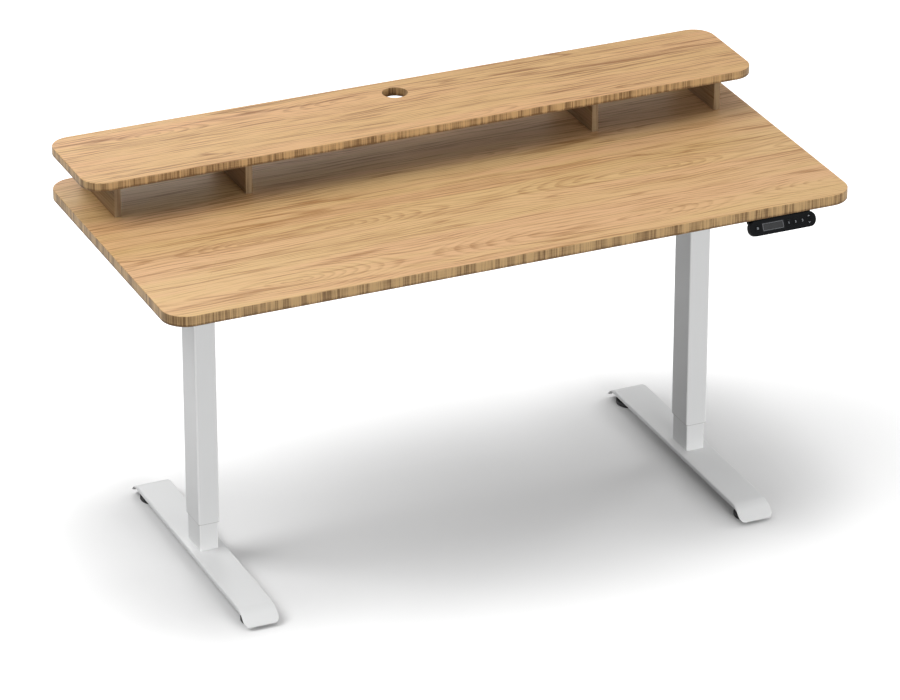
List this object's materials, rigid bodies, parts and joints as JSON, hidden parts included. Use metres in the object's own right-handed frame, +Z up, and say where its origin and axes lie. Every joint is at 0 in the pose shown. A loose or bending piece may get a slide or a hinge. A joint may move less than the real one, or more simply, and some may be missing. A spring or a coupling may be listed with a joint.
{
  "type": "standing desk",
  "caption": "Height-adjustable two-tier desk: wooden top with a raised monitor shelf on telescopic motor-driven T-legs with a button handset.",
  "frame": {"origin": "on the floor under the middle of the desk top", "axes": "+X along the width to the sitter's right, +Y to the back edge, +Z up"},
  "size_m": [1.6, 0.7744, 0.893],
  "materials": {
    "oak_board": "satin oak-look face and edge",
    "white_steel": "fine matte powder coat",
    "zinc_steel": "zinc plated",
    "black_plastic": "fine matte",
    "grey_plastic": "smooth acetal",
    "smoke_lens": "polished",
    "cast_alloy": "die cast",
    "motor_steel": "black enamel",
    "circuit_board": "solder mask",
    "dowel_wood": "raw beech"
  },
  "bodies": {
    "base_left": {"foot_left": "white_steel", "foot_bolts_left": "zinc_steel", "inner_tube_left": "white_steel", "inner_guide_left": "grey_plastic", "spindle_nut_left": "grey_plastic"},
    "upper": {"desk_top": "oak_board", "monitor_shelf": "oak_board", "shelf_dowels": "dowel_wood", "shelf_screws": "zinc_steel", "frame_bolts": "zinc_steel", "wood_screws": "zinc_steel", "shelf_support_left_end": "oak_board", "shelf_support_left_inner": "oak_board", "shelf_support_right_inner": "oak_board", "shelf_support_right_end": "oak_board", "frame_rail_front": "white_steel", "frame_rail_back": "white_steel", "column_head_left": "white_steel", "side_bracket_left": "white_steel", "gearbox_left": "cast_alloy", "motor_left": "motor_steel", "outer_tube_left": "white_steel", "tube_bush_left": "grey_plastic", "column_head_right": "white_steel", "side_bracket_right": "white_steel", "gearbox_right": "cast_alloy", "motor_right": "motor_steel", "outer_tube_right": "white_steel", "tube_bush_right": "grey_plastic", "control_box_base": "black_plastic", "control_box_cover": "black_plastic", "control_board": "circuit_board", "handset_case": "black_plastic", "handset_cover": "black_plastic", "handset_board": "circuit_board", "handset_lens": "smoke_lens"},
    "base_right": {"foot_right": "white_steel", "foot_bolts_right": "zinc_steel", "inner_tube_right": "white_steel", "inner_guide_right": "grey_plastic", "spindle_nut_right": "grey_plastic"},
    "spindle_left": {"spindle_left": "zinc_steel"},
    "glide_left_front": {"glide_pad_left_front": "black_plastic"},
    "stud_left_front": {"glide_stud_left_front": "zinc_steel"},
    "glide_left_back": {"glide_pad_left_back": "black_plastic"},
    "stud_left_back": {"glide_stud_left_back": "zinc_steel"},
    "spindle_right": {"spindle_right": "zinc_steel"},
    "glide_right_front": {"glide_pad_right_front": "black_plastic"},
    "stud_right_front": {"glide_stud_right_front": "zinc_steel"},
    "glide_right_back": {"glide_pad_right_back": "black_plastic"},
    "stud_right_back": {"glide_stud_right_back": "zinc_steel"},
    "button_memory": {"button_memory": "black_plastic"},
    "button_preset_1": {"button_preset_1": "black_plastic"},
    "button_preset_2": {"button_preset_2": "black_plastic"},
    "button_preset_3": {"button_preset_3": "black_plastic"},
    "button_up": {"button_up": "black_plastic"},
    "button_down": {"button_down": "black_plastic"}
  },
  "joints": [
    {"name": "left_lift", "type": "slide", "parent": "base_left", "child": "upper", "axis": [0, 0, 1], "range_m": [-0.06, 0.4]},
    {"name": "right_lift", "type": "slide", "parent": "upper", "child": "base_right", "axis": [0, 0, -1], "range_m": [-0.06, 0.4]},
    {"name": "spindle_left_turn", "type": "hinge", "parent": "upper", "child": "spindle_left", "pos_m": [-0.5955, 0, 0.7175], "axis": [0, 0, 1], "range_deg": [-2701, 18001]},
    {"name": "glide_left_front_level", "type": "slide", "parent": "base_left", "child": "glide_left_front", "axis": [0, 0, 1], "range_m": [0, 0.005]},
    {"name": "stud_left_front_turn", "type": "hinge", "parent": "glide_left_front", "child": "stud_left_front", "pos_m": [-0.5955, -0.306, 0.02], "axis": [0, 0, 1], "range_deg": [-1, 1441]},
    {"name": "glide_left_back_level", "type": "slide", "parent": "base_left", "child": "glide_left_back", "axis": [0, 0, 1], "range_m": [0, 0.005]},
    {"name": "stud_left_back_turn", "type": "hinge", "parent": "glide_left_back", "child": "stud_left_back", "pos_m": [-0.5955, 0.306, 0.02], "axis": [0, 0, 1], "range_deg": [-1, 1441]},
    {"name": "spindle_right_turn", "type": "hinge", "parent": "upper", "child": "spindle_right", "pos_m": [0.5955, 0, 0.7175], "axis": [0, 0, 1], "range_deg": [-2701, 18001]},
    {"name": "glide_right_front_level", "type": "slide", "parent": "base_right", "child": "glide_right_front", "axis": [0, 0, 1], "range_m": [0, 0.005]},
    {"name": "stud_right_front_turn", "type": "hinge", "parent": "glide_right_front", "child": "stud_right_front", "pos_m": [0.5955, -0.306, 0.02], "axis": [0, 0, 1], "range_deg": [-1, 1441]},
    {"name": "glide_right_back_level", "type": "slide", "parent": "base_right", "child": "glide_right_back", "axis": [0, 0, 1], "range_m": [0, 0.005]},
    {"name": "stud_right_back_turn", "type": "hinge", "parent": "glide_right_back", "child": "stud_right_back", "pos_m": [0.5955, 0.306, 0.02], "axis": [0, 0, 1], "range_deg": [-1, 1441]},
    {"name": "button_memory_press", "type": "slide", "parent": "upper", "child": "button_memory", "axis": [0, 0.9063, -0.4226], "range_m": [0, 0.0006], "stiffness_N_per_m": 2500},
    {"name": "button_preset_1_press", "type": "slide", "parent": "upper", "child": "button_preset_1", "axis": [0, 0.9063, -0.4226], "range_m": [0, 0.0006], "stiffness_N_per_m": 2500},
    {"name": "button_preset_2_press", "type": "slide", "parent": "upper", "child": "button_preset_2", "axis": [0, 0.9063, -0.4226], "range_m": [0, 0.0006], "stiffness_N_per_m": 2500},
    {"name": "button_preset_3_press", "type": "slide", "parent": "upper", "child": "button_preset_3", "axis": [0, 0.9063, -0.4226], "range_m": [0, 0.0006], "stiffness_N_per_m": 2500},
    {"name": "button_up_press", "type": "slide", "parent": "upper", "child": "button_up", "axis": [0, 0.9063, -0.4226], "range_m": [0, 0.0006], "stiffness_N_per_m": 2500},
    {"name": "button_down_press", "type": "slide", "parent": "upper", "child": "button_down", "axis": [0, 0.9063, -0.4226], "range_m": [0, 0.0006], "stiffness_N_per_m": 2500}
  ],
  "couplings": [
    {"joint": "right_lift", "follows": "left_lift", "ratio": 1},
    {"joint": "spindle_left_turn", "follows": "left_lift", "rad_per_m": 785.4},
    {"joint": "stud_left_front_turn", "follows": "glide_left_front_level", "rad_per_m": 5026.5},
    {"joint": "stud_left_back_turn", "follows": "glide_left_back_level", "rad_per_m": 5026.5},
    {"joint": "spindle_right_turn", "follows": "left_lift", "rad_per_m": 785.4},
    {"joint": "stud_right_front_turn", "follows": "glide_right_front_level", "rad_per_m": 5026.5},
    {"joint": "stud_right_back_turn", "follows": "glide_right_back_level", "rad_per_m": 5026.5}
  ]
}
